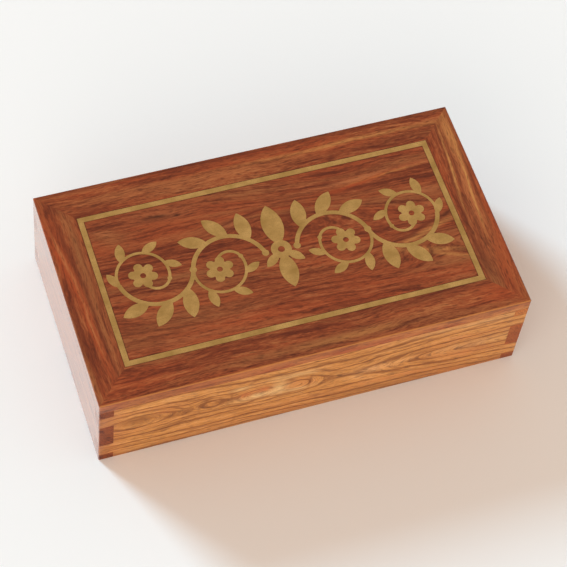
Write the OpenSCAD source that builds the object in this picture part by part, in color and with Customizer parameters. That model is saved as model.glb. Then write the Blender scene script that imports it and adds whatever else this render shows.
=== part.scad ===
// Keepsake box in two tones of rosewood: finger-jointed sides, a base panel held in a groove,
// and a flat mitred lid on two brass butt hinges, inlaid with a brass line and a brass vine.
// The box stands on z = 0, centred on the origin, with its front towards -Y and its hinges at +Y.

/* [Box] */
// Outside length, left to right
box_length = 254; // [230:1:300]
// Outside width, front to back
box_width = 141; // [126:1:180]
// Outside height with the lid shut
box_height = 63.5; // [56:0.5:90]
// Thickness of the four side boards
board_thickness = 8.5; // [8:0.5:12]
// Radius to which the outer edges are eased
edge_radius = 0.8; // [0.4:0.1:1.5]

/* [Corner joints] */
// Height of each of the two fingers at the ends of the front and back boards
finger_height = 10.7; // [8:0.1:13]
// Height of the side boards' pins above and below those fingers
end_pin_height = 6.4; // [5:0.1:9]

/* [Base] */
// Thickness of the base panel
base_thickness = 4; // [3:0.5:6]
// Height of the base panel's underside above the table
base_lift = 3; // [2:0.5:6]
// Depth of the groove that holds the base panel
base_groove_depth = 4; // [2.5:0.5:5]
// Play of the base panel in its groove, on each face and edge
base_play = 0.1; // [0.05:0.05:0.3]

/* [Lid] */
// Thickness of the lid's mitred border
lid_thickness = 8; // [7.5:0.5:12]
// Width of the wood that shows outside the brass line
border_width = 20.4; // [18:0.2:26]
// Thickness of the middle panel, which is flush with the border on top
panel_thickness = 6; // [5.5:0.5:7]
// Gap between the shut lid and the side boards
lid_gap = 0.15; // [0.05:0.05:0.3]
// How far the lid opens, in degrees
lid_open_angle = 100; // [90:1:115]
// Width of the tongue that holds the panel in the border
tongue_width = 4; // [3:0.5:6]
// Thickness of that tongue
tongue_thickness = 2.4; // [2:0.1:2.8]
// Depth of the tongue's upper face below the top of the lid
tongue_drop = 2.2; // [2:0.1:2.5]
// Length of the loose spline across each mitre, along the mitre
spline_length = 16; // [10:1:18]
// Width of that spline
spline_width = 8; // [6:1:10]
// Thickness of that spline
spline_thickness = 2; // [1.6:0.1:2.4]
// Play of the tongues and splines in their grooves
tongue_play = 0.1; // [0.05:0.05:0.2]

/* [Brass inlay] */
// Thickness of the brass sheet, which is the depth of its pockets
brass_thickness = 1; // [0.6:0.1:1.4]
// Width of the brass line round the panel
line_width = 3.2; // [2:0.1:4.5]
// Play round each brass piece
inlay_play = 0.05; // [0.02:0.01:0.1]
// Width of the vine's main stem
stem_width = 2.6; // [1.6:0.1:3]
// Width of the vine's side shoots
shoot_width = 1.7; // [1:0.1:2]
// Length of a full-size leaf
leaf_length = 19; // [14:0.5:21]
// Width of a full-size leaf
leaf_breadth = 8.6; // [6:0.1:9.4]
// Radius of the flower in each scroll
flower_radius = 8.4; // [6:0.1:9]

/* [Hinges] */
// Length of each hinge
hinge_length = 22; // [18:0.5:30]
// Distance from the end of the box to the middle of a hinge
hinge_inset = 48; // [36:1:60]
// Width of a hinge leaf, from the pin's axis to its free edge
leaf_width = 5.8; // [5.4:0.1:6]
// Thickness of a hinge leaf
leaf_thickness = 0.9; // [0.8:0.05:1.1]
// Radius of the hinge barrel
barrel_radius = 1.6; // [1.5:0.05:1.8]
// Radius of the hinge pin
pin_radius = 0.6; // [0.5:0.05:0.75]
// Radial play of the pin in the barrel
pin_play = 0.04; // [0.02:0.01:0.08]
// Gap between two knuckles, and between the shut leaves
knuckle_gap = 0.2; // [0.15:0.05:0.3]
// Distance from the end of a hinge to its nearer screw
screw_inset = 5; // [4.5:0.5:6]
// Length of the screws in the back board
body_screw_length = 9; // [7:0.5:12]
// Length of the screws in the lid
lid_screw_length = 5.5; // [4.5:0.5:6.5]
// Radius of a screw's head
screw_head_radius = 1.6; // [1.4:0.05:1.8]
// Radius of a screw's shank
screw_radius = 0.8; // [0.6:0.05:0.9]

/* [Hidden] */
$fn = 64;
over = 1;                                        // how far a cutter runs past the face that it cuts

body_height = box_height - lid_thickness;
lid_bottom = body_height + lid_gap;
inner_length = box_length - 2 * board_thickness;
inner_width = box_width - 2 * board_thickness;
rail_width = border_width + line_width / 2;      // the panel's joint lies under the middle of the brass line
opening_length = box_length - 2 * rail_width;    // the hole in the mitred border
opening_width = box_width - 2 * rail_width;
line_length = box_length - 2 * border_width;     // the brass line's outer rectangle
line_depth = box_width - 2 * border_width;
field_length = line_length - 2 * line_width;     // the wood inside the brass line
field_width = line_depth - 2 * line_width;

light_wood = "#c48850";
red_wood = "#8a4a2e";
dark_wood = "#6e3a28";
brass = "#a88c50";

// ---- Wooden blanks ----

// A rectangle centred on x, standing on y = 0, with its lower or upper corners rounded
module eased_profile(length, height, round_top) {
    r = edge_radius;
    straight = round_top ? 0 : r;                // height at which the straight part starts
    translate([-length / 2, straight]) square([length, height - r]);
    translate([r - length / 2, 0]) square([length - 2 * r, height]);
    for (side = [-1, 1])
        translate([side * (length / 2 - r), round_top ? height - r : r]) circle(r);
}

// The outer shape of the box body or lid: upright edges eased, and either the top or the bottom ones
module eased_block(height, round_top) {
    r = edge_radius;
    intersection() {
        linear_extrude(height) {
            square([box_length - 2 * r, box_width], center = true);
            square([box_length, box_width - 2 * r], center = true);
            for (x = [-1, 1], y = [-1, 1])
                translate([x * (box_length / 2 - r), y * (box_width / 2 - r)]) circle(r);
        }
        rotate([90, 0, 0]) linear_extrude(box_width + 2 * over, center = true)
            eased_profile(box_length, height, round_top);
        rotate([90, 0, 90]) linear_extrude(box_length + 2 * over, center = true)
            eased_profile(box_width, height, round_top);
    }
}

// ---- Side boards ----

// The heights that the two fingers of the front and back boards take up, at both ends of a board
module finger_zones(depth) {
    middle = body_height - 2 * end_pin_height - 2 * finger_height;
    for (end = [-1, 1], z = [end_pin_height, end_pin_height + finger_height + middle])
        translate([end * (box_length / 2 - board_thickness / 2) - board_thickness / 2, -depth / 2, z])
            cube([board_thickness, depth, finger_height]);
}

// The space that the base panel takes in the boards
module base_blank(play) {
    size = [inner_length + 2 * base_groove_depth, inner_width + 2 * base_groove_depth, base_thickness];
    translate([0, 0, base_lift + base_thickness / 2]) cube(size + 2 * play * [1, 1, 1], center = true);
}

module base_panel() {
    color(dark_wood) base_blank(0);
}

// The front board, or the back board on the other side, before the hinges are let in
module long_board(side) {
    intersection() {
        eased_block(body_height, false);
        translate([0, side * (box_width - board_thickness) / 2, 0]) {
            translate([-inner_length / 2, -board_thickness / 2, 0])
                cube([inner_length, board_thickness, body_height]);
            finger_zones(board_thickness);
        }
    }
}

module front_board() {
    color(light_wood) difference() {
        long_board(-1);
        base_blank(base_play);
    }
}

module back_board() {
    color(light_wood) difference() {
        long_board(1);
        base_blank(base_play);
        back_bevel(-1);
        hinge_seats(-1, body_screw_length);
    }
}

module end_board(side) {
    color(dark_wood) difference() {
        intersection() {
            eased_block(body_height, false);
            translate([side * (box_length - board_thickness) / 2, 0, body_height / 2])
                cube([board_thickness, box_width, body_height], center = true);
        }
        for (y = [-1, 1])
            translate([0, y * (box_width - board_thickness) / 2, 0]) finger_zones(board_thickness);
        base_blank(base_play);
        back_bevel(-1);
    }
}

// ---- Hinges ----

axis_y = box_width / 2 - barrel_radius;          // the barrel is flush with the back of the box
axis_z = body_height + lid_gap / 2;              // and its axis lies in the seam
bevel_angle = lid_open_angle / 2 + 0.5;          // the two bevels come to rest on each other
knuckles = 5;
knuckle_pitch = hinge_length / knuckles;
seat_play = 0.15;                                // play round a leaf in its seat
barrel_play = 0.3;                               // play round the barrel in the wood
pin_head_radius = 1.05;
pin_head_height = 0.5;
screw_head_height = 0.8;
screw_y = -(leaf_width + barrel_radius + knuckle_gap) / 2;
screw_spacing = hinge_length - 2 * screw_inset;
hinge_x = box_length / 2 - hinge_inset;

// The bevel that lets the lid lean back: below the seam on the boards, above it on the lid
module back_bevel(up) {
    reach = barrel_radius + over;
    drop = reach * tan(bevel_angle);
    translate([0, axis_y, axis_z]) rotate([90, 0, 90])
        linear_extrude(box_length + 2 * over, center = true)
            polygon([[0, 0], [reach, 0], [reach, up * drop]]);
}

// Places its children on the axis of both hinges
module at_hinges() {
    for (side = [-1, 1]) translate([side * hinge_x, axis_y, axis_z]) children();
}

// A countersunk wood screw, head up, its flat top at z = 0
module screw(length, play) {
    translate([0, 0, -screw_head_height])
        cylinder(h = screw_head_height, r1 = screw_radius + play, r2 = screw_head_radius + play);
    translate([0, 0, -length]) cylinder(h = length, r = screw_radius + play);
}

// Places its children on the two screws of one leaf, with the leaf's inner face at z = 0
module at_screws(up) {
    for (end = [-1, 1])
        translate([end * screw_spacing / 2, screw_y, up * knuckle_gap / 2])
            mirror([0, 0, up > 0 ? 1 : 0]) children();
}

// What the wood gives up for both hinges
module hinge_seats(up, screw_length) {
    seat = [
        hinge_length + 2 * seat_play,
        leaf_width + seat_play + over,
        leaf_thickness + knuckle_gap / 2 + over
    ];
    floor_z = up * (leaf_thickness + knuckle_gap / 2);
    barrel_length = hinge_length + 2 * pin_head_height + 2 * barrel_play;
    at_hinges() {
        translate([-seat.x / 2, -leaf_width - seat_play, up > 0 ? floor_z - seat.z : floor_z]) cube(seat);
        rotate([0, 90, 0]) cylinder(h = barrel_length, r = barrel_radius + barrel_play, center = true);
        at_screws(up) screw(screw_length, seat_play / 3);
    }
}

// One knuckle of the barrel, numbered from 0
module knuckle(i, radius, gap) {
    translate([(i - knuckles / 2) * knuckle_pitch + gap / 2, 0, 0]) rotate([0, 90, 0])
        cylinder(h = knuckle_pitch - gap, r = radius);
}

// A hinge leaf with every second knuckle from first on. The body's leaf lies below the axis.
module hinge_leaf(side, up, first) {
    color(brass) translate([side * hinge_x, axis_y, axis_z]) difference() {
        union() {
            translate([-hinge_length / 2, -leaf_width, up > 0 ? knuckle_gap / 2 : -knuckle_gap / 2 - leaf_thickness])
                cube([hinge_length, leaf_width, leaf_thickness]);
            for (i = [first:2:knuckles - 1]) knuckle(i, barrel_radius, knuckle_gap);
        }
        for (i = [1 - first:2:knuckles - 1]) knuckle(i, barrel_radius + knuckle_gap, -knuckle_gap);
        rotate([0, 90, 0]) cylinder(h = hinge_length + 2 * over, r = pin_radius + pin_play, center = true);
        at_screws(up) screw(body_screw_length, pin_play);
    }
}

module hinge_pin(side) {
    color(brass) translate([side * hinge_x, axis_y, axis_z]) rotate([0, 90, 0]) {
        cylinder(h = hinge_length + 2 * pin_head_height, r = pin_radius, center = true);
        for (end = [-1, 1])
            translate([0, 0, end * (hinge_length + pin_head_height) / 2])
                cylinder(h = pin_head_height, r = pin_head_radius, center = true);
    }
}

// The four screws on one side of the seam, each with its driver slot
module hinge_screws(up, length) {
    slot = [2.2 * screw_head_radius, 0.4, 0.6];
    color(brass) at_hinges() at_screws(up) difference() {
        screw(length, 0);
        cube(slot, center = true);
    }
}

// ---- Lid ----

// A mitred strip along the front of a rectangle, length by depth, and width wide
module mitred_strip(length, depth, width) {
    polygon([
        [-length / 2, -depth / 2], [length / 2, -depth / 2],
        [length / 2 - width, width - depth / 2], [width - length / 2, width - depth / 2]
    ]);
}

// Turns a strip made for the front to the side that it is for: 0 front, 1 right, 2 back, 3 left
module on_side(side, length, depth, width) {
    rotate(90 * side)
        if (side % 2 == 0) mitred_strip(length, depth, width);
        else mitred_strip(depth, length, width);
}

module line_strip(side, play) {
    // the channel is wider than the strip by the play on both edges
    translate([0, 0, box_height - brass_thickness]) linear_extrude(brass_thickness + (play > 0 ? over : 0))
        if (play > 0) difference() {
            square([line_length + 2 * play, line_depth + 2 * play], center = true);
            square([field_length - 2 * play, field_width - 2 * play], center = true);
        }
        else on_side(side, line_length, line_depth, line_width);
}

module brass_line(side) {
    color(brass) line_strip(side, 0);
}

// The middle panel's outline, with the tongue that runs into the border
module panel_blank(play) {
    top = box_height - tongue_drop;
    translate([0, 0, top - tongue_thickness - play])
        linear_extrude(tongue_thickness + 2 * play)
            square([opening_length + 2 * (tongue_width + play), opening_width + 2 * (tongue_width + play)],
                   center = true);
}

module lid_panel() {
    color(red_wood) difference() {
        union() {
            translate([0, 0, box_height - panel_thickness / 2])
                cube([opening_length, opening_width, panel_thickness], center = true);
            panel_blank(0);
        }
        line_strip(0, inlay_play);
        translate([0, 0, box_height - brass_thickness]) linear_extrude(brass_thickness + over) {
            for (side = [-1, 1]) vine_outline(side, inlay_play);
            palmette_outline(inlay_play);
        }
    }
}

// The loose splines that tie the mitres together
module splines(play) {
    size = [spline_length, spline_width, spline_thickness];
    groove_end = rail_width - tongue_width - tongue_play;
    middle = groove_end / 2 * sqrt(2);           // along the mitre, from the box's corner
    for (x = [-1, 1], y = [-1, 1])
        translate([
            x * (box_length / 2 - middle / sqrt(2)), y * (box_width / 2 - middle / sqrt(2)),
            lid_bottom + lid_thickness / 2 - lid_gap / 2
        ])
            rotate(45 * x * y) cube(size + 2 * play * [1, 1, 1], center = true);
}

module lid_rail(side) {
    color(red_wood) difference() {
        intersection() {
            translate([0, 0, lid_bottom]) eased_block(lid_thickness - lid_gap, true);
            translate([0, 0, lid_bottom]) linear_extrude(lid_thickness)
                on_side(side, box_length, box_width, rail_width);
        }
        panel_blank(tongue_play);
        line_strip(side, inlay_play);
        splines(tongue_play);
        back_bevel(1);
        if (side == 2) hinge_seats(1, lid_screw_length);
    }
}

// ---- Brass vine ----

root_gap = 1.4;                                  // wood between the palmette and the root of each vine
vine_margin = 8;                                 // room between the vine's last bend and the brass line
bead_share = 0.8;                                // radius of a bead, as a share of its strip's width
root_angle = 2;                                  // how far round its bend a strip starts
wave_angle = 76;                                 // slope of the stem where it crosses the middle line
palmette_ring = 6;
vine_start = palmette_ring + root_gap + bead_share * stem_width;
wave = (field_length / 2 - vine_start - vine_margin) / 2;      // length of one bend of the stem
stem_radius = wave / 2 / sin(wave_angle);
shoot_radius = 0.68 * stem_radius;               // the side shoot winds in two steps
shoot_turn = 215;
leaf_angle = 42;                                 // between a leaf and its stem
stem_leaf_places = [0.22, 0.44, 0.66];           // along a bend, as shares of it
shoot_leaf_places = [0.3, 0.55, 0.8];
tip_radius = shoot_radius / 2;                   // so the second step heads for the middle of the first
tip_turn = 2 * acos(0.55 * flower_radius / shoot_radius);      // and ends inside the flower there

// The sector of a ring round the origin, between two angles
module ring_sector(radius, from, to, width) {
    far = 2 * (radius + width);
    rim = [for (i = [0:4]) from + (to - from) * i / 4];
    intersection() {
        difference() {
            circle(radius + width / 2);
            circle(radius - width / 2);
        }
        polygon([[0, 0], for (a = rim) far * [cos(a), sin(a)]]);
    }
}

// A strip that starts at the origin along +X and bends left by turn degrees, or right if turn is negative.
// A bead joins it to the strip that it follows, and both ends lie inside that bead.
module bend(radius, turn, width, play) {
    circle(bead_share * width + play);
    mirror([0, turn < 0 ? 1 : 0]) translate([0, radius]) rotate(-90)
        ring_sector(radius, root_angle, abs(turn), width + 2 * play);
}

// Moves its children to the end of such a bend, heading along it
module after_bend(radius, turn) {
    translate([radius * sin(abs(turn)), sign(turn) * radius * (1 - cos(turn))]) rotate(turn) children();
}

// A pointed leaf that grows along +X from the origin
module leaf(size, play) {
    length = size * leaf_length;
    breadth = size * leaf_breadth;
    r = (length * length / 4 + breadth * breadth / 4) / breadth;
    translate([length / 2, 0]) intersection_for(side = [-1, 1])
        translate([0, side * (r - breadth / 2)]) circle(r + play);
}

// A leaf that branches off at an angle, its root sunk in the stem
module side_leaf(angle, size, play) {
    rotate(angle) translate([-0.5, 0]) leaf(size, play);
}

module flower(play) {
    petals = 6;
    petal = 0.31 * flower_radius;
    difference() {
        union() {
            circle(flower_radius - petal);
            for (i = [0:petals - 1])
                rotate(i * 360 / petals) translate([flower_radius - petal, 0]) circle(petal + play);
        }
        circle(flower_radius / 5 - play);
    }
}

// One half of the vine, growing from the panel's middle to the right (side 1) or left (side -1)
module vine_outline(side, play) {
    turn = 2 * wave_angle;
    mirror([side < 0 ? 1 : 0, 0]) translate([vine_start, 0]) rotate(wave_angle) {
        bend(stem_radius, -turn, stem_width, play);
        stem_leaves(1, play);
        after_bend(stem_radius, -turn) {
            scroll(-1, play);
            bend(stem_radius, turn, stem_width, play);
            stem_leaves(-1, play);
            after_bend(stem_radius, turn) {
                scroll(1, play);
                side_leaf(-14, 0.6, play);
            }
        }
    }
}

// The shoot that winds into the hollow of a bend and ends in a flower
module scroll(hand, play) {
    bend(shoot_radius, hand * shoot_turn, shoot_width, play);
    for (at = shoot_leaf_places)
        after_bend(shoot_radius, hand * shoot_turn * at) side_leaf(-hand * leaf_angle, 0.72 - 0.2 * at, play);
    after_bend(shoot_radius, hand * shoot_turn) bend(tip_radius, hand * tip_turn, shoot_width, play);
    translate([0, hand * shoot_radius]) flower(play);
}

// The leaves on the outer side of a bend of the main stem, smaller and smaller along it
module stem_leaves(hand, play) {
    for (at = stem_leaf_places)
        after_bend(stem_radius, -hand * 2 * wave_angle * at) side_leaf(hand * leaf_angle, 1.1 - 0.3 * at, play);
}

// The fan of leaves in the middle of the panel, round a ring
module palmette_outline(play) {
    for (fan = [[90, 1.45], [-90, 1.2], [-40, 0.62], [-140, 0.62]])
        rotate(fan[0]) translate([palmette_ring / 2, 0]) leaf(fan[1], play);
    difference() {
        circle(palmette_ring + play);
        circle(palmette_ring / 3 - play);
    }
}

module brass_sheet() {
    color(brass) translate([0, 0, box_height - brass_thickness]) linear_extrude(brass_thickness) children();
}

// ---- The pieces ----

front_board();
back_board();
end_board(-1);  // left_board
end_board(1);  // right_board
base_panel();
lid_rail(0);  // lid_front_rail
lid_rail(1);  // lid_right_rail
lid_rail(2);  // lid_back_rail
lid_rail(3);  // lid_left_rail
lid_panel();
color(dark_wood) splines(0);  // lid_splines
brass_line(0);  // brass_line_front
brass_line(1);  // brass_line_right
brass_line(2);  // brass_line_back
brass_line(3);  // brass_line_left
brass_sheet() vine_outline(-1, 0);  // brass_vine_left
brass_sheet() vine_outline(1, 0);  // brass_vine_right
brass_sheet() palmette_outline(0);  // brass_palmette
hinge_leaf(-1, -1, 0);  // hinge_left_body_leaf
hinge_leaf(-1, 1, 1);  // hinge_left_lid_leaf
hinge_pin(-1);  // hinge_left_pin
hinge_leaf(1, -1, 0);  // hinge_right_body_leaf
hinge_leaf(1, 1, 1);  // hinge_right_lid_leaf
hinge_pin(1);  // hinge_right_pin
hinge_screws(-1, body_screw_length);  // body_hinge_screws
hinge_screws(1, lid_screw_length);  // lid_hinge_screws
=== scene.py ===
"""Dresses the inlaid keepsake box: rosewood with its grain and figure, flat brass inlay, and the hinges."""
import math
from collections import namedtuple

import bpy
from bpy.props import FloatProperty, FloatVectorProperty, PointerProperty
from bpy.types import Operator, Panel, PropertyGroup
from mathutils import Euler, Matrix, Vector


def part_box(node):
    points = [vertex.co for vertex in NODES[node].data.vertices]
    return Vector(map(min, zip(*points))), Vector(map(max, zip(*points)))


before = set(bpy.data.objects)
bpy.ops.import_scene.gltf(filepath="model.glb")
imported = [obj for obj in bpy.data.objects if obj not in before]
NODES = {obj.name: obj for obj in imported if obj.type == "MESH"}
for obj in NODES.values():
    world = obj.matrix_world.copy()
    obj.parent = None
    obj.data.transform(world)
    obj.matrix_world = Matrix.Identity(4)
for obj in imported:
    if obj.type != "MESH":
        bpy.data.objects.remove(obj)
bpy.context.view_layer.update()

bl_info = {
    "name": "Inlaid Keepsake Box",
    "version": (1, 0, 0),
    "blender": (4, 5, 0),
    "location": "View3D > Sidebar > Keepsake Box",
    "description": "Finishes the pieces of a brass-inlaid rosewood box and sets its studio",
    "category": "Object",
}

MM = 0.001                                  # one millimetre in metres


# ---- Small helpers ----

def linear(code):
    """An sRGB hex colour as linear red, green and blue."""
    channels = [int(code[i:i + 2], 16) / 255 for i in (1, 3, 5)]
    return [c / 12.92 if c <= 0.04045 else ((c + 0.055) / 1.055) ** 2.4 for c in channels]


def add(tree, kind, inputs=(), **settings):
    """Adds a node, sets or links its inputs, given by name or number or in order, and returns its outputs."""
    node = tree.nodes.new(kind)
    for name, value in settings.items():
        setattr(node, name, value)
    for socket, value in inputs.items() if isinstance(inputs, dict) else enumerate(inputs):
        if isinstance(value, bpy.types.NodeSocket):
            tree.links.new(value, node.inputs[socket])
        else:
            node.inputs[socket].default_value = value
    return node.outputs


# The sockets of a Mix node for colours: its inputs, and then its result among the outputs.
AMOUNT, FROM, TO = 0, 6, 7
MIXED = 2


def new_material(name):
    """An empty node material."""
    material = bpy.data.materials.new(name)
    material.use_nodes = True
    material.node_tree.nodes.clear()
    return material


def dress(node_names, material):
    """Gives CAD nodes one material."""
    for name in node_names:
        mesh = NODES[name].data
        mesh.materials.clear()
        mesh.materials.append(material)


# ---- Sizes and colours ----

def colour(name, description, code):
    """A colour property with an sRGB default."""
    return FloatVectorProperty(name=name, description=description, default=linear(code), size=3, min=0, max=1,
                               subtype="COLOR")


def length(name, description, millimetres):
    """A length property with a default in millimetres."""
    return FloatProperty(name=name, description=description, default=millimetres * MM, min=0,
                         unit="LENGTH", subtype="DISTANCE")


# What each colour of a wood is called, and what it is the colour of.
WOOD_COLOURS = {
    "pale": ("Pale figure", "Colour of the palest patches"),
    "light": ("Light streaks", "Colour of the light streaks"),
    "mid": ("Ground", "Colour of most of the wood"),
    "dark": ("Dark streaks", "Colour of the dark streaks"),
    "flame": ("Flame", "Colour of the orange-red streaks"),
    "olive": ("Olive", "Colour of the olive-brown streaks"),
    "pore": ("Pores", "Colour at the bottom of the open pores"),
    "end_stain": ("End grain", "Colour that the end grain takes on, over the colour of the face"),
}

# The same for the settings that say how strongly a part of the figure shows, with the most that each may be.
WOOD_STRENGTHS = {
    "contrast": ("Contrast", "How far the streaks depart from the ground", 8),
    "rings": ("Ring strength", "How dark the growth rings are", 2),
    "veins": ("Vein strength", "How dark the veins are", 2),
}


def wood_hue(key, code):
    """One of the colours of a wood, with an sRGB default."""
    return colour(*WOOD_COLOURS[key], code)


def strength(key, default):
    """How strongly a part of the wood's figure shows."""
    name, description, most = WOOD_STRENGTHS[key]
    return FloatProperty(name=name, description=description, default=default, min=0, max=most)


def fraction(name, description, default):
    """A setting from 0 to 1."""
    return FloatProperty(name=name, description=description, default=default, min=0, max=1, subtype="FACTOR")


def angle(name, description, degrees):
    """An angle property with a default in degrees."""
    return FloatProperty(name=name, description=description, default=math.radians(degrees),
                         unit="ROTATION", subtype="ANGLE")


def ring_spacing(millimetres):
    """The distance between two dark growth rings."""
    return length("Ring spacing", "Distance between two dark growth rings", millimetres)


class WoodLook:
    """Rosewood as sawn, sanded and varnished."""
    pale: wood_hue("pale", "#bd7e44")
    light: wood_hue("light", "#b1693c")
    mid: wood_hue("mid", "#8f4323")
    dark: wood_hue("dark", "#602614")
    flame: wood_hue("flame", "#a44420")
    olive: wood_hue("olive", "#8f5a33")
    pore: wood_hue("pore", "#3c170c")
    streak: length("Streak width", "Width of the broad streaks across the grain", 5)
    reach: FloatProperty(name="Streak length", description="How much longer a streak is than it is wide",
                         default=11, min=1)
    contrast: strength("contrast", 3.8)
    ring: ring_spacing(4.4)
    rings: strength("rings", 0.15)
    vein: length("Vein spacing", "Distance between two of the thin dark veins", 3.2)
    veins: strength("veins", 0.45)
    wander: length("Wander", "How far the grain wanders from straight", 7)
    pore_width: length("Pore width", "Width of a pore across the grain", 0.3)
    roughness: fraction("Roughness", "Roughness of the finish", 0.28)
    polish: fraction("Polish", "Weight of the polish on the two ends of the box", 1.0)
    # painted glare: how much paler the faces at the ends of the box are drawn
    end_painted_glare: fraction("Pale ends", "How pale the faces at the ends of the box are", 0)
    end_stain: wood_hue("end_stain", "#c5a78c")


class LidWoodLook(WoodLook, PropertyGroup):
    """The red-brown rosewood of the lid."""


class EndRailWoodLook(WoodLook, PropertyGroup):
    """The rosewood of the lid's left and right rails, with a calmer figure."""
    # the ends of the lid's rails get a painted glare
    end_painted_glare: fraction("Pale ends", "How pale the faces at the ends of the box are", 0.4)
    contrast: strength("contrast", 2.7)


class PanelWoodLook(WoodLook, PropertyGroup):
    """The rosewood of the lid's panel, whose rings show more than those of the rails."""
    light: wood_hue("light", "#a9623a")
    mid: wood_hue("mid", "#8b4122")
    rings: strength("rings", 0.24)
    contrast: strength("contrast", 3.2)


class SideWoodLook(WoodLook, PropertyGroup):
    """The golden rosewood of the front board, cut close to the heart of the tree."""
    contrast: strength("contrast", 2.2)
    pale: wood_hue("pale", "#dcb67c")
    light: wood_hue("light", "#dfa86c")
    mid: wood_hue("mid", "#c88944")
    dark: wood_hue("dark", "#864c17")
    flame: wood_hue("flame", "#c07039")
    olive: wood_hue("olive", "#b3823f")
    end_stain: wood_hue("end_stain", "#d8b48e")
    ring: ring_spacing(5)
    rings: strength("rings", 0.52)
    veins: strength("veins", 0.34)


class BackWoodLook(WoodLook, PropertyGroup):
    """The rosewood of the back board, like the front board's and a little redder."""
    contrast: strength("contrast", 2.4)
    pale: wood_hue("pale", "#d9a772")
    light: wood_hue("light", "#d69862")
    mid: wood_hue("mid", "#bc7640")
    dark: wood_hue("dark", "#80431c")
    flame: wood_hue("flame", "#b86238")
    olive: wood_hue("olive", "#a8703a")
    end_stain: wood_hue("end_stain", "#d8b48e")
    ring: ring_spacing(5)
    rings: strength("rings", 0.42)


class EndWoodLook(WoodLook, PropertyGroup):
    """The rosewood of the left end board."""
    mid: wood_hue("mid", "#aa5f2c")
    light: wood_hue("light", "#c27a3e")
    dark: wood_hue("dark", "#6c2e12")
    olive: wood_hue("olive", "#a2683a")


class RightEndWoodLook(WoodLook, PropertyGroup):
    """The paler rosewood of the right end board."""
    mid: wood_hue("mid", "#bb6c38")
    light: wood_hue("light", "#cf8349")
    dark: wood_hue("dark", "#844729")
    olive: wood_hue("olive", "#b07440")
    end_stain: wood_hue("end_stain", "#f9ecda")


class InnerWoodLook(WoodLook, PropertyGroup):
    """The planed rosewood of the base and of the splines, with only a thin finish."""
    roughness: fraction("Roughness", "Roughness of the finish", 0.5)


class BrassLook(PropertyGroup):
    """Brass sheet and drawn brass."""
    inlay: colour("Inlay", "Colour of the sanded inlay", "#e8c682")
    tarnish: colour("Tarnish", "Colour where the brass has dulled", "#c1a161")
    hinge: colour("Hinge", "Colour of the hinges and screws", "#c9a662")
    scratch: length("Scratch spacing", "Distance between two sanding scratches", 0.5)
    roughness: fraction("Roughness", "Roughness of the sanded brass", 0.42)


class StudioLook(PropertyGroup):
    """Camera, light and floor."""
    floor: colour("Floor", "Colour of the floor", "#f5f5f5")
    walls: colour("Walls", "Light from the walls of the room", "#ffead8")
    ceiling: colour("Ceiling", "Light from the ceiling of the room", "#c7b6a8")
    room_strength: FloatProperty(name="Room strength", description="Strength of the light of the room",
                                 default=1.0, min=0)
    fill: colour("Reflector", "Colour of the light from the reflector on the front left", "#fff0e2")
    fill_strength: FloatProperty(name="Reflector strength", description="Strength of the reflector's light",
                                 default=2.6, min=0)
    fill_heading: angle("Reflector heading", "Where the reflector stands, from +X", -130)
    key: colour("Window", "Colour of the window light", "#c1eaff")
    key_strength: FloatProperty(name="Window strength", description="Strength of the window light",
                                default=3.35, min=0)
    key_size: FloatProperty(name="Window size", description="Angle that the window takes up",
                            default=math.radians(17), min=0, unit="ROTATION", subtype="ANGLE")
    key_elevation: angle("Window height", "Elevation of the window light", 25)
    key_heading: angle("Window heading", "Heading of the window light, from +X", -60)
    lens: FloatProperty(name="Focal length", description="Focal length of the camera, in millimetres",
                        default=132.74, min=1, unit="CAMERA")
    distance: length("Camera distance", "Distance from the camera to the point that it looks at", 1253.6)
    azimuth: angle("Camera azimuth", "How far left of the front the camera stands", 25.754)
    elevation: angle("Camera elevation", "How far above level the camera stands", 58.091)
    roll: angle("Camera roll", "How far the camera is turned about its axis", 8.857)


# ---- Wood ----

# A smooth hump laid on a board: its place along and across the board in the frame's millimetres, how far it
# reaches each way, how strong it is, how far it is turned in degrees, and the colour that it gives, if any.
# A hump may bring the heart of the tree nearer, push the grain lines aside, or tint the wood.
Hump = namedtuple("Hump", "along across length width strength turn colour", defaults=(0, "light"))

# The waves in which the grain wanders: their sizes in millimetres along, across and through the board, and
# their share of the wander.
WAVES = (((90, 34, 34), 1.0), ((28, 10, 10), 0.35), ((8, 4, 4), 0.13))
RING_SHARPNESS = 7.0        # the higher, the thinner the dark line of a growth ring
RING_UNEVENNESS = 1.1       # in ring spacings
VEIN_REACH = 26             # how much longer a vein is than the space between two veins
PORE_LENGTH = 5             # millimetres
PORE_SCALE = 2              # pores are drawn twice as wide as they are, so that they show
GLUE_LINE = (0.15, 0.5)     # millimetres from the brass: dark up to the first, gone by the second
GLUE_DEPTH = (2, 1)         # millimetres under the top of the lid: none at the first, full at the second
GLUE_STRENGTH = 0.75

# How the figure changes from layer to layer: with depth in the board, and with distance across it from the
# heart.
LAYER_DEPTH, LAYER_ACROSS = 0.6, 0.15

# Sizes in millimetres, along, across and through the board, of the noises that vary the figure.
RING_WAVES = (120, 8, 8)    # growth rings draw apart and together
VEIN_BREAKS = (40, 5, 5)    # veins come and go
HUE_PATCHES = (110, 9, 9)   # streaks of another colour

# Where each noise starts to show and where it shows in full, and in some how much it gives at each.
VEIN_WIDTH = 0.045          # either side of the middle value of its noise
HUE_RANGE = (0.46, 0.76, 0.0, 0.7)
BROKEN_RANGE = (0.35, 0.6, 0.25, 1.0)
PORE_RANGE = (0.54, 0.72)
PORE_DARKNESS = 0.5

# Which faces are which, by a part of their normal.
END_GRAIN = (0.6, 0.8)      # sawn across the grain
POLISHED = (0.35, 0.6)      # the two ends of the box and their eased edges
GLARE_ENDS = (0.75, 0.95)     # the two ends without their edges, where glare is painted
WEAR_AND_HIGHLIGHT_EDGE = (-0.1, -0.45, 0.0, 0.8)     # the eased edges that are paler, with rubbing wear and a painted highlight, and how pale they are

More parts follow.
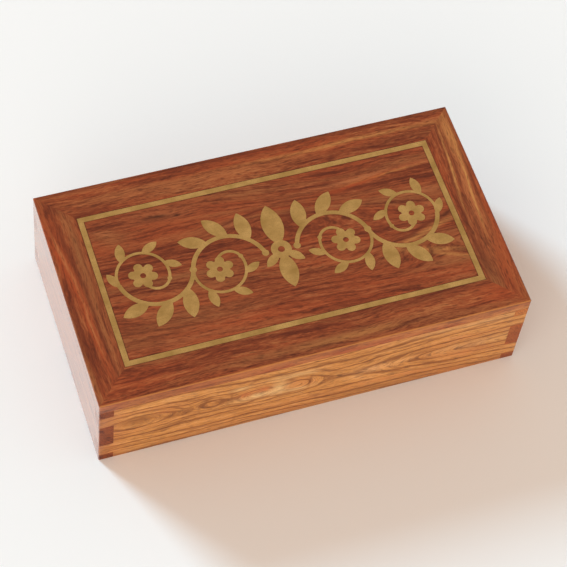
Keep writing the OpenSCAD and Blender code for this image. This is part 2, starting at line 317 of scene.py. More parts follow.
END_DULLNESS = 0.25         # how much rougher end grain is
PORE_DEPTH = 0.7            # against the height of the streaks
RELIEF = 0.05               # millimetres from the top of the film to the bottom of a pore
RELIEF_STRENGTH = 0.25


def hump(tree, board, patch):
    """A smooth hump in board coordinates, 1 in its middle and falling off to 0."""
    reach = add(tree, "ShaderNodeMapping", {
        "Vector": board, "Location": (patch.along, patch.across, 0),
        "Rotation": (0, 0, math.radians(patch.turn)), "Scale": (patch.length, patch.width, 1000),
    }, vector_type="TEXTURE")[0]
    square = add(tree, "ShaderNodeVectorMath", (reach, reach), operation="DOT_PRODUCT")["Value"]
    return add(tree, "ShaderNodeMath", (math.exp(-1), square), operation="POWER")[0]


def noise(tree, place, sizes, seed, detail=0, roughness=0.5):
    """Noise whose features have the given sizes in millimetres along, across and through the board. The seed
    shifts it, by another amount along each axis."""
    scaled = add(tree, "ShaderNodeMapping", {
        "Vector": place, "Location": (seed, seed * 5, seed * 2), "Scale": [1 / size for size in sizes]})[0]
    return add(tree, "ShaderNodeTexNoise", {"Vector": scaled, "Scale": 1, "Detail": detail,
                                            "Roughness": roughness})[0]


def lay_grain(tree, look, seed, board, heart, slant, near, swells):
    """Where each point of a board lay in the tree. Gives its distance from the heart, which is constant
    along a grain line, coordinates that follow those lines, and board coordinates that waver with them."""
    along, across, depth = board
    spot = add(tree, "ShaderNodeCombineXYZ", board)[0]
    aside = add(tree, "ShaderNodeMath", (across, heart[0]), operation="SUBTRACT")[0]
    aside = add(tree, "ShaderNodeMath", (along, -slant, aside), operation="MULTIPLY_ADD")[0]
    away = add(tree, "ShaderNodeMath", (depth, heart[1]), operation="SUBTRACT")[0]
    away = add(tree, "ShaderNodeMath", (away,), operation="ABSOLUTE")[0]
    for patch in near:
        away = add(tree, "ShaderNodeMath", (hump(tree, spot, patch), -patch.strength, away),
                   operation="MULTIPLY_ADD")[0]
    radius = add(tree, "ShaderNodeCombineXYZ", (aside, away))[0]
    grain = add(tree, "ShaderNodeVectorMath", (radius,), operation="LENGTH")["Value"]
    for patch in swells:
        grain = add(tree, "ShaderNodeMath", (hump(tree, spot, patch), patch.strength, grain),
                    operation="MULTIPLY_ADD")[0]

    waver = across
    for sizes, share in WAVES:
        push = share * look.wander / MM
        shift = add(tree, "ShaderNodeMath", (noise(tree, spot, sizes, seed), 0.5), operation="SUBTRACT")[0]
        grain = add(tree, "ShaderNodeMath", (shift, push, grain), operation="MULTIPLY_ADD")[0]
        if share < 1:       # the widest wave would carry the tints away from their places
            waver = add(tree, "ShaderNodeMath", (shift, push, waver), operation="MULTIPLY_ADD")[0]
    drawn = add(tree, "ShaderNodeCombineXYZ", (along, waver, depth))[0]

    layer = add(tree, "ShaderNodeMath", (depth, LAYER_DEPTH), operation="MULTIPLY")[0]
    layer = add(tree, "ShaderNodeMath", (aside, LAYER_ACROSS, layer), operation="MULTIPLY_ADD")[0]
    fibre = add(tree, "ShaderNodeCombineXYZ", (along, grain, layer))[0]
    return grain, fibre, drawn


def streaked_tone(tree, look, seed, grain, fibre):
    """How light the wood is: 0 is dark, 0.5 is the ground and 1 is light. Gives the plain streaks as well."""
    # streaks of every width down to single fibres
    width = look.streak / MM
    streaks = noise(tree, fibre, (width * look.reach, width, width), seed, detail=5, roughness=1.0)
    spread = add(tree, "ShaderNodeMath", (streaks, 0.5), operation="SUBTRACT")[0]
    tone = add(tree, "ShaderNodeMath", (spread, look.contrast, 0.5), operation="MULTIPLY_ADD")[0]

    # growth rings at uneven distances, each a thin dark line
    count = add(tree, "ShaderNodeMath", (grain, MM / look.ring), operation="MULTIPLY")[0]
    uneven = noise(tree, fibre, RING_WAVES, seed + 1)
    count = add(tree, "ShaderNodeMath", (uneven, RING_UNEVENNESS, count), operation="MULTIPLY_ADD")[0]
    turn = add(tree, "ShaderNodeMath", (count, math.tau), operation="MULTIPLY")[0]
    ring = add(tree, "ShaderNodeMath", (turn,), operation="SINE")[0]
    ring = add(tree, "ShaderNodeMath", (ring, 0.5, 0.5), operation="MULTIPLY_ADD")[0]
    ring = add(tree, "ShaderNodeMath", (ring, RING_SHARPNESS), operation="POWER")[0]
    tone = add(tree, "ShaderNodeMath", (ring, -look.rings, tone), operation="MULTIPLY_ADD")[0]

    # thin dark veins where a noise crosses its middle, which come and go along the grain
    gap = look.vein / MM
    vein = noise(tree, fibre, (gap * VEIN_REACH, gap, gap), seed + 3, detail=1)
    vein = add(tree, "ShaderNodeMath", (vein, 0.5), operation="SUBTRACT")[0]
    vein = add(tree, "ShaderNodeMath", (vein,), operation="ABSOLUTE")[0]
    vein = add(tree, "ShaderNodeMapRange", (vein, 0.0, VEIN_WIDTH, look.veins, 0.0))[0]
    breaks = noise(tree, fibre, VEIN_BREAKS, seed + 4)
    vein = add(tree, "ShaderNodeMath", (vein, breaks), operation="MULTIPLY")[0]
    return streaks, add(tree, "ShaderNodeMath", (tone, vein), operation="SUBTRACT")[0]


def wood_colour(tree, look, seed, tone, fibre):
    """Dark, ground and light by tone, with orange and olive streaks where the wood isn't dark."""
    low = add(tree, "ShaderNodeMapRange", (tone, 0.0, 0.5))[0]
    high = add(tree, "ShaderNodeMapRange", (tone, 0.5, 1.0))[0]
    wood = add(tree, "ShaderNodeMix", {AMOUNT: low, FROM: (*look.dark, 1), TO: (*look.mid, 1)},
               data_type="RGBA")[MIXED]
    wood = add(tree, "ShaderNodeMix", {AMOUNT: high, FROM: wood, TO: (*look.light, 1)},
               data_type="RGBA")[MIXED]
    for step, hue in ((2, look.flame), (5, look.olive)):
        much = noise(tree, fibre, HUE_PATCHES, seed + step, detail=3)
        much = add(tree, "ShaderNodeMapRange", (much, *HUE_RANGE))[0]
        much = add(tree, "ShaderNodeMath", (much, low), operation="MULTIPLY")[0]
        wood = add(tree, "ShaderNodeMix", {AMOUNT: much, FROM: wood, TO: (*hue, 1)}, data_type="RGBA")[MIXED]
    return wood


def lay_tints(tree, look, wood, tints, drawn, streaks):
    """Patches and lines of figure. The light ones are broken up by the streaks that they lie on."""
    broken = add(tree, "ShaderNodeMapRange", (streaks, *BROKEN_RANGE))[0]
    for patch in tints:
        amount = hump(tree, drawn, patch)
        amount = add(tree, "ShaderNodeMath", (amount, patch.strength), operation="MULTIPLY")[0]
        if patch.colour not in ("dark", "pore"):
            amount = add(tree, "ShaderNodeMath", (amount, broken), operation="MULTIPLY")[0]
        wood = add(tree, "ShaderNodeMix", {AMOUNT: amount, FROM: wood, TO: (*getattr(look, patch.colour), 1)},
                   data_type="RGBA")[MIXED]
    return wood


def glue_line(tree, look, wood, parts, glue):
    """A hairline of dark glue on top of the lid, where the wood meets the brass line. It is a rectangle, and
    glue gives half its length and half its width in millimetres."""
    sides = []
    for part, half in zip(parts, glue):
        reach = add(tree, "ShaderNodeMath", (part,), operation="ABSOLUTE")[0]
        sides.append(add(tree, "ShaderNodeMath", (reach, half), operation="SUBTRACT")[0])
    edge = add(tree, "ShaderNodeMath", sides, operation="MAXIMUM")[0]
    edge = add(tree, "ShaderNodeMath", (edge,), operation="ABSOLUTE")[0]
    hairline = add(tree, "ShaderNodeMapRange", (edge, *GLUE_LINE, GLUE_STRENGTH, 0.0))[0]
    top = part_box("lid_panel")[1][2] / MM
    shown = add(tree, "ShaderNodeMapRange", (parts[2], *[top - depth for depth in GLUE_DEPTH]))[0]
    hairline = add(tree, "ShaderNodeMath", (hairline, shown), operation="MULTIPLY")[0]
    return add(tree, "ShaderNodeMix", {AMOUNT: hairline, FROM: wood, TO: (*look.pore, 1)},
               data_type="RGBA")[MIXED]


def lay_pores(tree, look, seed, wood, fibre):
    """Open pores: short dark dashes along the grain, drawn wider than they are, so that they show. Gives the
    wood and the pores."""
    wide = look.pore_width / MM * PORE_SCALE
    pores = noise(tree, fibre, (PORE_LENGTH, wide, wide), seed, detail=1)
    pores = add(tree, "ShaderNodeMapRange", (pores, *PORE_RANGE))[0]
    filled = add(tree, "ShaderNodeMath", (pores, PORE_DARKNESS), operation="MULTIPLY")[0]
    wood = add(tree, "ShaderNodeMix", {AMOUNT: filled, FROM: wood, TO: (*look.pore, 1)},
               data_type="RGBA")[MIXED]
    return wood, pores


def tell_faces_apart(tree, look, wood, facing, grain_axis):
    """Changes the wood by the way that a face points: stains the end grain, paints a highlight with some
    rubbing wear on certain eased edges, and paints glare on the ends. Gives the wood, how far it is end
    grain, and how polished it is."""
    # end grain drinks the finish, so it is stained and duller
    end = add(tree, "ShaderNodeMath", (facing[grain_axis],), operation="ABSOLUTE")[0]
    end = add(tree, "ShaderNodeMapRange", (end, *END_GRAIN))[0]
    wood = add(tree, "ShaderNodeMix", {AMOUNT: end, FROM: wood, TO: (*look.end_stain, 1)}, data_type="RGBA",
               blend_type="MULTIPLY")[MIXED]

    # the eased edges along the top of the front and along the foot of the back are paler: rubbing wear and a
    # painted highlight
    slope = add(tree, "ShaderNodeMath", (facing[1], facing[2]), operation="MULTIPLY")[0]
    edge = add(tree, "ShaderNodeMapRange", (slope, *WEAR_AND_HIGHLIGHT_EDGE))[0]
    wood = add(tree, "ShaderNodeMix", {AMOUNT: edge, FROM: wood, TO: (*look.pale, 1)},
               data_type="RGBA")[MIXED]

    # the two ends of the box are polished, so that they catch the light, and on some a painted glare makes
    # them paler
    sideways = add(tree, "ShaderNodeMath", (facing[0],), operation="ABSOLUTE")[0]
    glare_amount = add(tree, "ShaderNodeMapRange", (sideways, *GLARE_ENDS, 0.0, look.end_painted_glare))[0]
    wood = add(tree, "ShaderNodeMix", {AMOUNT: glare_amount, FROM: wood, TO: (*look.light, 1)},
               data_type="RGBA")[MIXED]
    polish = add(tree, "ShaderNodeMapRange", (sideways, *POLISHED, 0.0, look.polish))[0]
    return wood, end, polish


def varnish(tree, look, wood, end, polish, streaks, pores):
    """The satin film on the wood, which dips into the pores."""
    rough = (look.roughness, look.roughness + END_DULLNESS)
    dull = add(tree, "ShaderNodeMapRange", (end, 0.0, 1.0, *rough))[0]
    relief = add(tree, "ShaderNodeMath", (pores, -PORE_DEPTH, streaks), operation="MULTIPLY_ADD")[0]
    relief = add(tree, "ShaderNodeBump", {
        "Height": relief, "Strength": RELIEF_STRENGTH, "Distance": RELIEF * MM})[0]
    surface = add(tree, "ShaderNodeBsdfPrincipled", {
        "Base Color": wood, "IOR": 1.5, "Specular IOR Level": 0.3, "Roughness": dull, "Normal": relief,
        "Coat Weight": polish, "Coat Roughness": 0.14, "Coat IOR": 1.6})[0]
    add(tree, "ShaderNodeOutputMaterial", (surface,))


def wood_material(name, look, axes, seed, heart, slant=0, near=(), swells=(), tints=(), glue=None):
    """Rosewood, sawn, sanded and varnished. It shows dark growth rings and veins on a red-brown or golden
    ground, short dark pores, and a satin film that dips into them. The grain runs along the first of axes.
    heart is the place of the middle of the tree along the other two, in millimetres, and slant is how far it
    strays across for each millimetre along. The humps in near bring it nearer, those in swells push the grain
    lines aside, and tints colour the wood. glue is what glue_line says."""
    material = new_material(name)
    tree = material.node_tree
    place = add(tree, "ShaderNodeTexCoord")
    spot = add(tree, "ShaderNodeVectorMath", {0: place["Object"], "Scale": 1 / MM}, operation="SCALE")[0]
    parts = add(tree, "ShaderNodeSeparateXYZ", (spot,))
    facing = add(tree, "ShaderNodeSeparateXYZ", (place["Normal"],))
    order = ["XYZ".index(axis) for axis in axes.upper()]
    board = [parts[axis] for axis in order]

    grain, fibre, drawn = lay_grain(tree, look, seed, board, heart, slant, near, swells)
    streaks, tone = streaked_tone(tree, look, seed, grain, fibre)
    wood = wood_colour(tree, look, seed, tone, fibre)
    wood = lay_tints(tree, look, wood, tints, drawn, streaks)
    wood, pores = lay_pores(tree, look, seed, wood, fibre)
    if glue:
        wood = glue_line(tree, look, wood, parts, glue)
    wood, end, polish = tell_faces_apart(tree, look, wood, facing, order[0])
    varnish(tree, look, wood, end, polish, streaks, pores)
    return material


class KEEPSAKE_OT_long_boards(Operator):
    """Finish the front and back boards in golden rosewood with a wavy figure"""
    bl_idname = "keepsake.long_boards"
    bl_label = "Front and back boards"

    def execute(self, context):
        look = context.scene.keepsake_side_wood
        dress(["front_board"], wood_material(
            "sawn_rosewood_front", look, "xzy", 11, heart=(30, -84.5), slant=-0.03,
            near=[Hump(125, 28, 60, 300, 12), Hump(-10, 34, 10, 9, 8), Hump(-34, 34, 13, 9, 9),
                  Hump(-61, 37, 11, 9, 6), Hump(-106, 36, 26, 14, 10)],
            tints=[
                # the eye on the left and the round knot beside it
                Hump(-105, 37, 11, 4, 0.8, 0, "dark"), Hump(-86, 32.5, 5, 2, 0.91, 0, "dark"),
                Hump(-88, 40, 8, 3.5, 0.5, 0, "flame"), Hump(-81, 40, 6, 0.9, 0.78, -37, "dark"),
                Hump(-102, 46, 14, 0.9, 0.65, 0, "dark"), Hump(-65, 40.5, 2.5, 2, 1, 0, "dark"),
                Hump(-50, 36, 5, 0.9, 0.65, 95, "dark"), Hump(-80, 24, 10, 0.9, 0.78, 15, "dark"),
                Hump(-68, 43.5, 13, 0.8, 0.65, -16, "dark"),
                # the pale patch, its two orange spots and the hook round its right end
                Hump(-22, 34, 5, 6, 1.3, 0, "pale"), Hump(-34, 31, 13, 3, 1.2, 0, "pale"),
                Hump(-14, 44.5, 15, 2.6, 0.9, -5, "pale"), Hump(-12, 27.5, 10, 1.8, 0.9, 0, "pale"),
                Hump(-45, 44, 5, 2, 0.9, 0, "pale"), Hump(-42, 35.5, 4, 2.8, 1.5, 0, "flame"),
                Hump(-31, 37, 4, 3, 1.5, 0, "flame"), Hump(-40, 25.5, 8, 1, 1, 18, "dark"),
                Hump(-18, 25.5, 14, 0.9, 0.8, -2, "dark"), Hump(-3.5, 33, 5.5, 1.1, 0.91, 85, "dark"),
                Hump(-15, 39.5, 3, 1.6, 0.78, -20, "dark"), Hump(-36, 49.5, 3, 1.2, 0.78, 20, "dark"),
                # the crossing, and the long nose that opens from it to the right
                Hump(36, 29, 15, 4.5, 0.95, 0, "light"), Hump(98, 29, 18, 4.5, 0.85, 0, "light"),
                Hump(40, 34, 15, 1, 0.91, 16, "dark"), Hump(42, 21.5, 20, 1, 0.91, -17, "dark"),
                Hump(18, 28.5, 10, 1.2, 0.91, -2, "dark"), Hump(73, 18, 9, 1.1, 1, -24, "dark"),
                Hump(62, 33.5, 9, 1.8, 0.65, 0, "dark"), Hump(95, 20, 16, 4, 0.5, 4, "flame"),
                Hump(48, 29, 14, 2.5, 0.4, 0, "light"), Hump(8, 40, 9, 1, 0.78, -28, "dark"),
                # long lines above and below, and a painted shade along the foot of the board, where it meets
                # the floor
                Hump(6, 49, 9, 1, 0.78, -20, "dark"), Hump(52, 46.5, 32, 1.1, 0.65, 0, "dark"),
                Hump(103, 48.5, 20, 1, 0.78, 6, "dark"), Hump(-27, 12, 26, 0.9, 0.6, 2, "dark"),
                Hump(-68, 10, 18, 1, 0.65, -8, "dark"), Hump(24, 7.5, 26, 1, 0.65, -7, "dark"),
                # the second hump on the next line is painted shade along the foot of the board
                Hump(95, 53, 40, 2.5, 0.5, 0, "pale"), Hump(0, 1, 300, 4, 0.45, 0, "dark"),
                # the fingers at the left end
                Hump(-127, 28, 11, 90, 0.7, 0, "flame"), Hump(-127, 28, 7, 90, 0.42, 0, "dark"),
            ]))
        dress(["back_board"], wood_material(
            "sawn_rosewood_back", context.scene.keepsake_back_wood, "xzy", 37, heart=(26, 86), slant=0.03,
            near=[Hump(-100, 26, 50, 300, 12), Hump(40, 26, 34, 300, 9), Hump(100, 26, 14, 300, 7)]))
        return {"FINISHED"}


class KEEPSAKE_OT_end_boards(Operator):
    """Finish the two end boards"""
    bl_idname = "keepsake.end_boards"
    bl_label = "End boards"

    def execute(self, context):
        scene = context.scene
        dress(["left_board"], wood_material(
            "varnished_rosewood_left", scene.keepsake_left_wood, "yzx", 5, heart=(-30, -150),
            near=[Hump(20, 20, 50, 300, 8)]))
        dress(["right_board"], wood_material(
            "varnished_rosewood_right", scene.keepsake_right_wood, "yzx", 23, heart=(90, 150),
            near=[Hump(-20, 30, 40, 300, 8)],
            tints=[Hump(-71, 26, 3, 14, 0.6, 0, "dark"), Hump(-71, 2, 3, 5, 1, 0, "dark"),
                   Hump(71, 26, 3, 14, 0.6, 0, "dark"), Hump(71, 2, 3, 5, 1, 0, "dark"),
                   Hump(-71, 51, 3, 5, 1.2, 0, "pale"), Hump(71, 51, 3, 5, 1.2, 0, "pale")]))
        return {"FINISHED"}


class KEEPSAKE_OT_inner_wood(Operator):
    """Finish the base panel and the mitre splines, which are only planed"""
    bl_idname = "keepsake.inner_wood"
    bl_label = "Base panel and splines"

    def execute(self, context):
        look = context.scene.keepsake_inner_wood
        dress(["base_panel"], wood_material("planed_rosewood_base", look, "xyz", 3, heart=(20, -30),
                                            near=[Hump(-60, 20, 70, 300, 20)]))
        dress(["lid_splines"], wood_material("planed_rosewood_spline", look, "xyz", 9, heart=(-90, 20)))
        return {"FINISHED"}


def inlay_edge(side):
    """Half sizes of the brass line's rectangle in millimetres: its inner edge for 0, its outer edge for 1."""
    right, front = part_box("brass_line_right"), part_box("brass_line_front")
    return right[side][0] / MM, -front[1 - side][1] / MM


class KEEPSAKE_OT_lid_rails(Operator):
    """Finish the four mitred rails round the lid"""
    bl_idname = "keepsake.lid_rails"
    bl_label = "Lid rails"

    def execute(self, context):
        look = context.scene.keepsake_border_wood
        end_look = context.scene.keepsake_end_rail_wood
        outer = inlay_edge(1)
        dress(["lid_back_rail"], wood_material(
            "varnished_rosewood_back_rail", look, "xyz", 13, heart=(-40, 0), glue=outer,
            tints=[Hump(-45, 58.5, 48, 3.2, 0.8, 0, "light"), Hump(0, 68.5, 140, 2, 0.6, 0, "dark"),
                   Hump(-70, 67, 26, 1, 0.7, 0, "flame"), Hump(20, 67.5, 40, 1, 0.7, 0, "flame"),
                   Hump(60, 61.3, 60, 1.4, 0.9, 0, "pale"), Hump(75, 54, 36, 3, 0.45, 0, "dark"),
                   Hump(-100, 53, 14, 2.5, 0.6, 0, "dark"), Hump(48, 52.5, 3, 1.4, 0.8, 0, "dark")]))
        dress(["lid_front_rail"], wood_material(
            "varnished_rosewood_front_rail", look, "xyz", 29, heart=(60, 0), glue=outer,
            tints=[Hump(12, -63.5, 36, 3, 0.7, 0, "olive"), Hump(20, -65, 26, 1.5, 0.6, 0, "pale"),
                   Hump(0, -53, 120, 2, 0.5, 0, "dark"), Hump(-60, -58, 50, 1.4, 0.4, 0, "dark"),
                   Hump(-105, -62, 22, 5, 0.5, 0, "flame"), Hump(112, -60, 16, 6, 0.75, 0, "flame"),
                   Hump(0, -71.2, 400, 0.9, 1.05, 0, "pale"), Hump(-60, -71.2, 110, 0.9, 0.4, 0, "flame")]))
        dress(["lid_left_rail"], wood_material(
            "varnished_rosewood_left_rail", end_look, "yxz", 17, heart=(0, 0), glue=outer,
            tints=[Hump(28, -122.5, 26, 2.4, 1.3, -7, "flame"), Hump(-26, -116.8, 34, 1.6, 1.2, -4, "flame"),
                   Hump(28, -121.5, 20, 0.9, 1.2, -7, "light"), Hump(-20, -117, 26, 0.7, 1.1, -4, "light"),
                   Hump(24, -117.2, 26, 1.3, 0.65, -5, "dark"), Hump(-30, -123.6, 34, 3, 0.55, -3, "dark"),
                   Hump(6, -111.5, 46, 1.6, 0.4, 0, "olive"), Hump(-14, -114, 34, 0.9, 0.6, -3, "dark"),
                   Hump(20, -109.6, 30, 0.8, 0.45, -2, "dark"), Hump(62, -118, 8, 6, 0.6, 0, "dark")]))
        dress(["lid_right_rail"], wood_material(
            "varnished_rosewood_right_rail", end_look, "yxz", 43, heart=(0, 0), glue=outer,
            tints=[Hump(50, 121.5, 20, 3, 1, -3, "pale"), Hump(5, 118, 46, 3, 0.9, 3, "light"),
                   Hump(12, 120.4, 30, 0.7, 1.5, 4, "pale"), Hump(30, 114.6, 26, 0.7, 1.4, 5, "pale"),
                   Hump(-15, 110, 18, 1, 0.6, 0, "dark"), Hump(10, 123.5, 34, 0.8, 0.6, 2, "dark"),
                   Hump(20, 112.6, 30, 0.8, 0.6, 4, "dark"), Hump(34, 117.4, 20, 0.6, 0.6, 5, "dark"),
                   Hump(-40, 111, 12, 3, 0.6, 0, "dark"), Hump(-45, 121, 22, 4, 0.6, 0, "flame")]))
        return {"FINISHED"}


class KEEPSAKE_OT_lid_panel(Operator):
    """Finish the panel in the middle of the lid"""
    bl_idname = "keepsake.lid_panel"
    bl_label = "Lid panel"

    def execute(self, context):
        look = context.scene.keepsake_panel_wood
        dress(["lid_panel"], wood_material(
            "varnished_rosewood_panel", look, "xyz", 7, heart=(-120, 0), slant=-0.06, glue=inlay_edge(0),
            swells=[Hump(12, 19, 42, 8, -13, -6), Hump(112, -18, 52, 9, -14), Hump(-60, 39, 12, 3, 3)],
            tints=[Hump(-58, 39.5, 20, 4, 0.6, -4, "light"), Hump(-62, 39.5, 7, 1.1, 0.9, -4, "pore"),
                   Hump(-51, 38, 2, 1, 0.9, 0, "pore"), Hump(14, 20.5, 8, 4, 0.7, 0, "dark"),
                   Hump(-22, 22, 7, 2.5, 0.7, -4, "light"),
                   Hump(-14, 26.5, 24, 1, 0.9, 10, "dark"), Hump(-10, 16.5, 26, 1, 0.9, -16, "dark"),
                   Hump(-91, 32, 10, 6, 0.6, -20, "olive"), Hump(-95, 36, 9, 1.4, 0.6, -20, "light"),
                   Hump(58, 34.5, 34, 1.3, 1.3, 3, "light"), Hump(72, 33.2, 20, 0.7, 1.1, 4, "pale"),
                   Hump(55, 31, 28, 1.3, 1, 8, "flame"),
                   Hump(58, 29, 12, 0.8, 0.8, 0, "dark"), Hump(98, 25.5, 7, 2, 0.6, 0, "dark"),
                   Hump(101, -1.5, 4, 1.2, 0.8, 25, "pore"), Hump(82, -8, 24, 1.2, 0.7, 18, "dark"),
                   Hump(85, -10.5, 22, 1.6, 0.9, 18, "pale"), Hump(86, -23.5, 20, 1.6, 0.9, -13, "pale"),
                   Hump(93, -29, 14, 1.2, 0.8, -20, "pale"), Hump(95, 16.5, 8, 2, 0.7, 0, "light"),
                   Hump(-84, -37, 17, 0.7, 0.7, 0, "dark"), Hump(-60, -42, 40, 3, 0.4, 0, "light"),
                   Hump(-70, -30, 40, 7, 0.45, 4, "olive"), Hump(-84, -22, 22, 3, 0.5, -5, "light")]))
        return {"FINISHED"}


# ---- Brass ----

# Tarnish: clouds the size of a leaf, and specks of it no wider than a grain of sand. Each has its size in
# millimetres, the noise values where it starts and is full, and how strong it is.
TARNISH = ((9, 0.3, 0.7, 1.0), (0.7, 0.5, 0.75, 0.8))
RUB_ANGLE = 8               # degrees between the sanding scratches and the long side of the box
SCRATCH_LENGTH = 30         # in scratch spacings
SCRATCH_RANGE = (0.3, 0.7)  # the noise values at the bottom and the top of a scratch
SCRATCH_SHADE = (0.93, 1.05)        # how much of its colour the brass keeps there
SCRATCH_GLOSS = (-0.08, 0.1)        # how the roughness changes there
SCRATCH_DEPTH = 0.02        # millimetres
SCRATCH_STRENGTH = 0.2
DRAWN_SMOOTHNESS = 0.1      # how much smoother drawn brass is than the sanded inlay


def brass_material(name, colours, roughness, scratch):
    """Sheet or drawn brass, rubbed with fine abrasive and left to dull. It has a soft olive-gold gloss,
    cloudy where it has tarnished. The scratches are drawn about ten times as coarse as the real ones, so that
    they show."""
    material = new_material(name)
    tree = material.node_tree
    place = add(tree, "ShaderNodeTexCoord")["Object"]
    tint = (*colours[0], 1)
    for size, least, most, share in TARNISH:
        cloud = add(tree, "ShaderNodeTexNoise", {"Vector": place, "Scale": 1 / (size * MM), "Detail": 4})[0]
        cloud = add(tree, "ShaderNodeMapRange", (cloud, least, most, 0.0, share))[0]
        tint = add(tree, "ShaderNodeMix", {AMOUNT: cloud, FROM: tint, TO: (*colours[1], 1)},
                   data_type="RGBA")[MIXED]
    rub = add(tree, "ShaderNodeMapping", {
        "Vector": place, "Rotation": (0, 0, math.radians(RUB_ANGLE)),
        "Scale": (1 / (SCRATCH_LENGTH * scratch), 1 / scratch, 1 / scratch)})[0]
    lines = add(tree, "ShaderNodeTexNoise", {"Vector": rub, "Scale": 1, "Detail": 3})[0]
    shade = add(tree, "ShaderNodeMapRange", (lines, *SCRATCH_RANGE, *SCRATCH_SHADE))[0]
    tint = add(tree, "ShaderNodeVectorMath", {0: tint, "Scale": shade}, operation="SCALE")[0]
    rough = [roughness + change for change in SCRATCH_GLOSS]
    gloss = add(tree, "ShaderNodeMapRange", (lines, *SCRATCH_RANGE, *rough))[0]
    bump = add(tree, "ShaderNodeBump", {
        "Height": lines, "Strength": SCRATCH_STRENGTH, "Distance": SCRATCH_DEPTH * MM})[0]
    surface = add(tree, "ShaderNodeBsdfPrincipled", {
        "Base Color": tint, "Metallic": 1.0, "Roughness": gloss, "Normal": bump})[0]
    add(tree, "ShaderNodeOutputMaterial", (surface,))
    return material


class KEEPSAKE_OT_inlay(Operator):
    """Finish the brass line and the vine"""
    bl_idname = "keepsake.inlay"
    bl_label = "Brass inlay"

    def execute(self, context):
        look = context.scene.keepsake_brass
        sheet = brass_material("sanded_brass_inlay", (look.inlay, look.tarnish), look.roughness, look.scratch)
        dress([name for name in NODES if name.startswith("brass_")], sheet)
        return {"FINISHED"}


class KEEPSAKE_OT_hinges(Operator):
    """Finish the hinges, their pins and their screws"""
    bl_idname = "keepsake.hinges"
    bl_label = "Hinges"

    def execute(self, context):
        look = context.scene.keepsake_brass
        smoother = look.roughness - DRAWN_SMOOTHNESS
        drawn = brass_material("drawn_brass_hinge", (look.hinge, look.tarnish), smoother, look.scratch)
        dress([name for name in NODES if name.startswith("hinge_") or name.endswith("_screws")], drawn)
        return {"FINISHED"}


# ---- Studio ----

FLOOR_REACH = 40.0                          # metres, far enough for its edge to stay out of sight
AIM = Vector((11.13, 13.38, 0)) * MM        # the point on the floor that the camera looks at
SENSOR = 36                                 # millimetres
CEILING_RISE = (0.0, 0.8)                   # how far up the walls end and the ceiling begins, 1 is overhead
REFLECTOR_REACH = (0.6, 1.0)                # cosine from the reflector's middle, to where it ends and is full


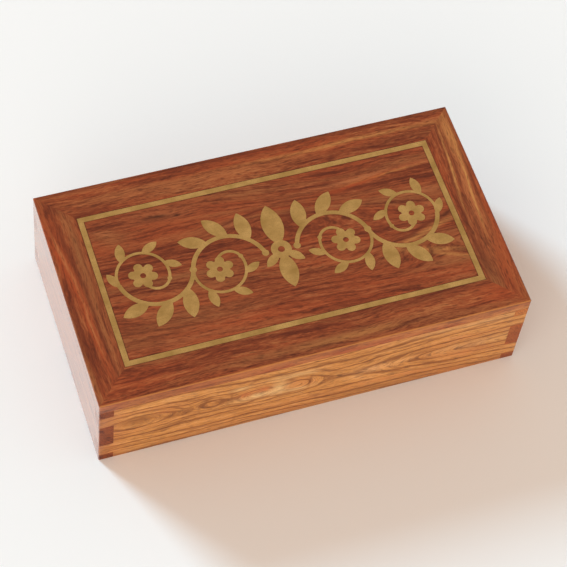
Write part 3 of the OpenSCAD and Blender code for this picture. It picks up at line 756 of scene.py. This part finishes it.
class KEEPSAKE_OT_studio(Operator):
    """Set the floor, the light and the camera"""
    bl_idname = "keepsake.studio"
    bl_label = "Studio"

    def execute(self, context):
        look = context.scene.keepsake_studio
        self.lay_floor(look)
        self.light(context, look)
        self.place_camera(context, look)
        context.scene.view_settings.view_transform = "Standard"
        return {"FINISHED"}

    def lay_floor(self, look):
        """A wide plain floor, painted matt, so it shows the soft shadow and no gloss."""
        corners = [(x * FLOOR_REACH, y * FLOOR_REACH, 0) for x, y in ((-1, -1), (1, -1), (1, 1), (-1, 1))]
        mesh = bpy.data.meshes.new("floor")
        mesh.from_pydata(corners, [], [(0, 1, 2, 3)])
        floor = bpy.data.objects.new("floor", mesh)
        bpy.context.collection.objects.link(floor)
        material = new_material("matt_paint_floor")
        surface = add(material.node_tree, "ShaderNodeBsdfPrincipled", {
            "Base Color": (*look.floor, 1), "Roughness": 0.9, "Specular IOR Level": 0.1})[0]
        add(material.node_tree, "ShaderNodeOutputMaterial", (surface,))
        mesh.materials.append(material)

    def light(self, context, look):
        """Window light from behind on the left, the room's own light from all round, and a reflector."""
        lamp = bpy.data.lights.new("window", "SUN")
        lamp.color = look.key
        lamp.energy = look.key_strength
        lamp.angle = look.key_size
        window = bpy.data.objects.new("window", lamp)
        level = math.cos(look.key_elevation)
        beam = Vector((level * math.cos(look.key_heading), level * math.sin(look.key_heading),
                       -math.sin(look.key_elevation)))
        window.rotation_euler = beam.to_track_quat("-Z", "Y").to_euler()
        # glossy surfaces don't see the lamp, because its mirror image would turn the flat lid white
        window.visible_glossy = False
        context.collection.objects.link(window)

        world = bpy.data.worlds.new("room")
        context.scene.world = world
        world.use_nodes = True
        tree = world.node_tree
        tree.nodes.clear()
        ray = add(tree, "ShaderNodeTexCoord")["Generated"]
        # the walls turn into the ceiling with height
        rise = add(tree, "ShaderNodeSeparateXYZ", (ray,))[2]
        rise = add(tree, "ShaderNodeMapRange", (rise, *CEILING_RISE), interpolation_type="SMOOTHSTEP")[0]
        glow = add(tree, "ShaderNodeMix", {AMOUNT: rise, FROM: (*look.walls, 1), TO: (*look.ceiling, 1)},
                   data_type="RGBA")[MIXED]
        room = add(tree, "ShaderNodeBackground", (glow, look.room_strength))[0]
        # the reflector is a soft round patch of light near the floor
        stand = (math.cos(look.fill_heading), math.sin(look.fill_heading), 0.0)
        near = add(tree, "ShaderNodeVectorMath", (ray, stand), operation="DOT_PRODUCT")["Value"]
        near = add(tree, "ShaderNodeMapRange", (near, *REFLECTOR_REACH, 0.0, look.fill_strength),
                   interpolation_type="SMOOTHSTEP")[0]
        fill = add(tree, "ShaderNodeBackground", ((*look.fill, 1), near))[0]
        both = add(tree, "ShaderNodeAddShader", (room, fill))[0]
        add(tree, "ShaderNodeOutputWorld", (both,))

    def place_camera(self, context, look):
        """Looks down on the box from the front left."""
        lens = bpy.data.cameras.new("camera")
        lens.lens = look.lens
        lens.sensor_width = SENSOR
        camera = bpy.data.objects.new("camera", lens)
        turn = Euler((math.pi / 2 - look.elevation, 0, -look.azimuth)).to_matrix()
        camera.location = AIM + turn @ Vector((0, 0, look.distance))
        roll = Euler((0, 0, look.roll)).to_matrix()
        camera.rotation_euler = (turn @ roll).to_euler()
        context.collection.objects.link(camera)
        context.scene.camera = camera


OPERATORS = (
    KEEPSAKE_OT_long_boards, KEEPSAKE_OT_end_boards, KEEPSAKE_OT_inner_wood, KEEPSAKE_OT_lid_rails,
    KEEPSAKE_OT_lid_panel, KEEPSAKE_OT_inlay, KEEPSAKE_OT_hinges, KEEPSAKE_OT_studio,
)


class KEEPSAKE_PT_panel(Panel):
    """Lists the steps that finish the box"""
    bl_idname = "KEEPSAKE_PT_panel"
    bl_label = "Keepsake Box"
    bl_space_type = "VIEW_3D"
    bl_region_type = "UI"
    bl_category = "Keepsake Box"

    def draw(self, context):
        for operator in OPERATORS:
            self.layout.operator(operator.bl_idname)


LOOKS = {
    "keepsake_side_wood": SideWoodLook, "keepsake_back_wood": BackWoodLook,
    "keepsake_left_wood": EndWoodLook, "keepsake_right_wood": RightEndWoodLook,
    "keepsake_inner_wood": InnerWoodLook, "keepsake_border_wood": LidWoodLook,
    "keepsake_end_rail_wood": EndRailWoodLook, "keepsake_panel_wood": PanelWoodLook,
    "keepsake_brass": BrassLook, "keepsake_studio": StudioLook,
}
CLASSES = (*LOOKS.values(), *OPERATORS, KEEPSAKE_PT_panel)


def register():
    """Makes the classes known, and hangs the settings on the scene."""
    for group in CLASSES:
        bpy.utils.register_class(group)
    for name, group in LOOKS.items():
        setattr(bpy.types.Scene, name, PointerProperty(type=group))


def unregister():
    """Takes both away again."""
    for name in LOOKS:
        delattr(bpy.types.Scene, name)
    for group in reversed(CLASSES):
        bpy.utils.unregister_class(group)


def main():
    """Registers the classes, and runs every step in order."""
    register()
    for operator in OPERATORS:
        package, step = operator.bl_idname.split(".")
        getattr(getattr(bpy.ops, package), step)()


if __name__ == "__main__":
    main()
